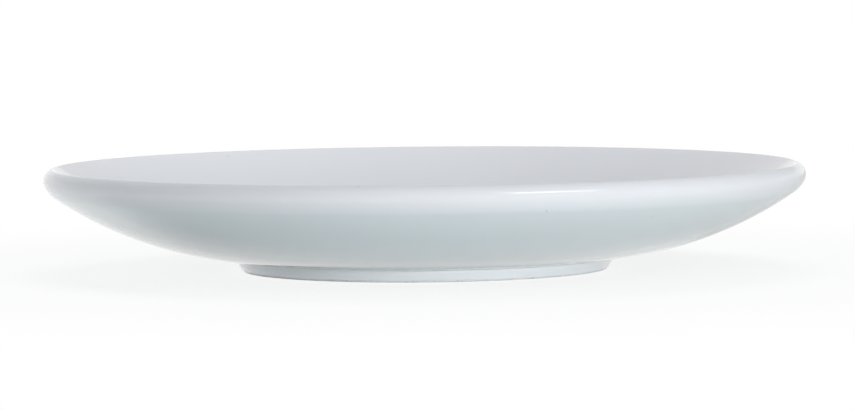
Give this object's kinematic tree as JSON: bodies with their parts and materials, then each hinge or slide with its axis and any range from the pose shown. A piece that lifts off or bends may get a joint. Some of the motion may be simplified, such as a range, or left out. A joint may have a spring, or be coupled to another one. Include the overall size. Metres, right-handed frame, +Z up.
{
  "type": "saucer",
  "caption": "Shallow round saucer with a narrow rounded lip, a recessed cup well and a low slanted foot ring, in pale blue-grey glazed stoneware.",
  "frame": {"origin": "Middle of the standing ring, on the table plane", "axes": "+Z is up, along the axis that the saucer is turned about; X and Y lie in the table plane and are alike, because the saucer is round"},
  "size_m": [0.15, 0.15, 0.0206],
  "materials": {
    "biscuit": "matte",
    "glaze": "gloss"
  },
  "bodies": {
    "root": {"biscuit_body": "biscuit", "outer_glaze": "glaze", "base_glaze": "glaze"}
  },
  "joints": []
}
